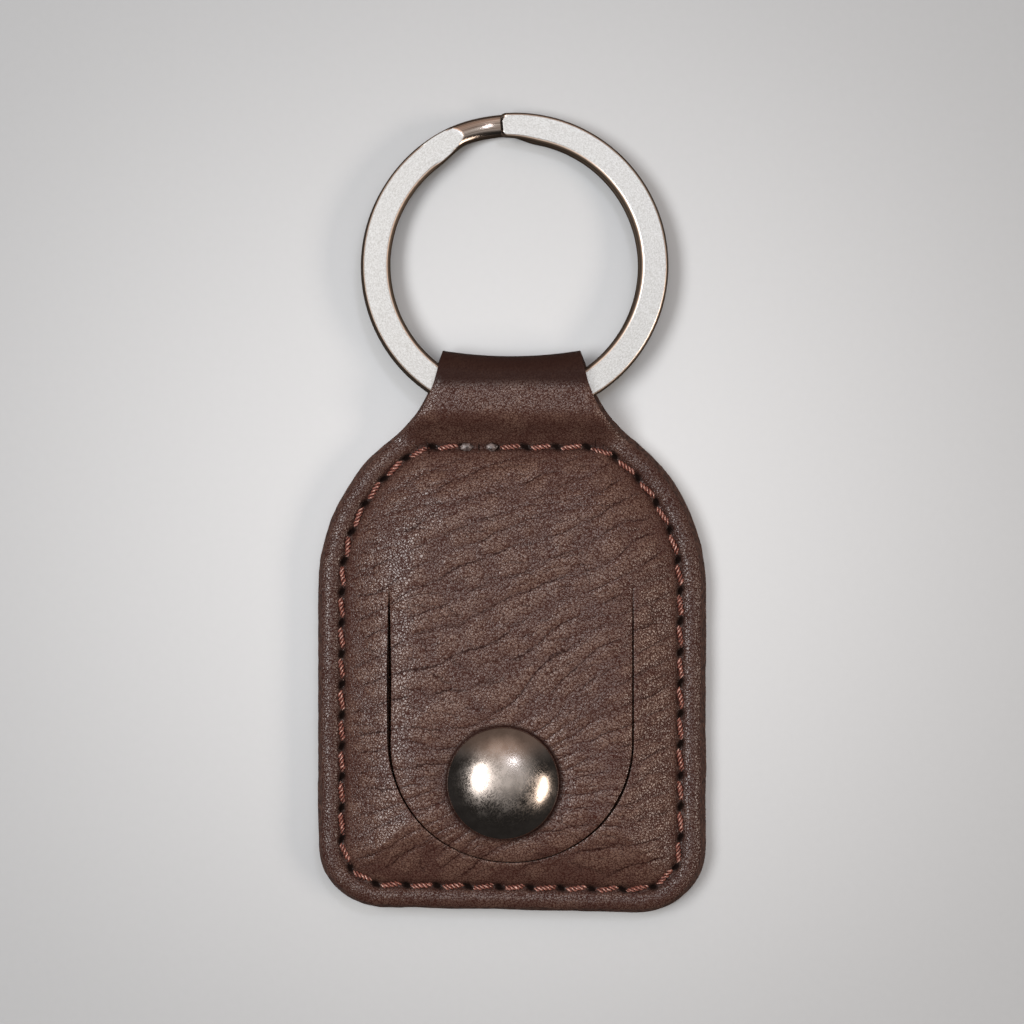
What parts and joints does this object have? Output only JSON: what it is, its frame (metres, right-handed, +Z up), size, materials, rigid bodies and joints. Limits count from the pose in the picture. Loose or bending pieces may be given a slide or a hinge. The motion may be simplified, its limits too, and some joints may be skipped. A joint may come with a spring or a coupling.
{
  "type": "coin holder keychain",
  "caption": "Flat leather key fob with a domed snap flap over a coin pocket, contrast stitching round its edge and a split ring held in its folded neck.",
  "frame": {"origin": "under the middle of the whole fob, on the surface that its back lies on", "axes": "+Z up out of the front with the snap cap, +Y along the fob towards the split ring, +X to the right as the front is seen"},
  "size_m": [0.0404, 0.0836, 0.0087],
  "materials": {
    "brown_leather": "dark brown grained leather with a low sheen, fine creases and reddish cut edges",
    "sewing_thread": "twisted terracotta thread",
    "dark_nickel": "polished dark nickel plate with fine scratches",
    "plain_nickel": "plain nickel plate",
    "spring_wire": "drawn spring wire",
    "ring_steel": "satin steel with fine lengthwise brushing"
  },
  "bodies": {
    "case": {"front_panel": "brown_leather", "back_panel": "brown_leather", "neck_loop": "brown_leather", "needle_thread": "sewing_thread", "bobbin_thread": "sewing_thread", "snap_stud": "plain_nickel", "stud_post": "dark_nickel"},
    "flap": {"coin_flap": "brown_leather", "snap_cap": "dark_nickel", "cap_post": "plain_nickel", "snap_socket": "plain_nickel", "socket_spring": "spring_wire"},
    "ring": {"split_ring": "ring_steel"}
  },
  "joints": [
    {"name": "flap_hinge", "type": "hinge", "parent": "case", "child": "flap", "pos_m": [0, -0.00781, 0.0056], "axis": [-1, 0, 0], "range_deg": [0, 125], "deforming": ["socket_spring"]},
    {"name": "ring_swing", "type": "hinge", "parent": "case", "child": "ring", "pos_m": [0, 0.01257, 0.00225], "axis": [1, 0, 0], "range_deg": [0, 95], "deforming": ["neck_loop"]}
  ]
}
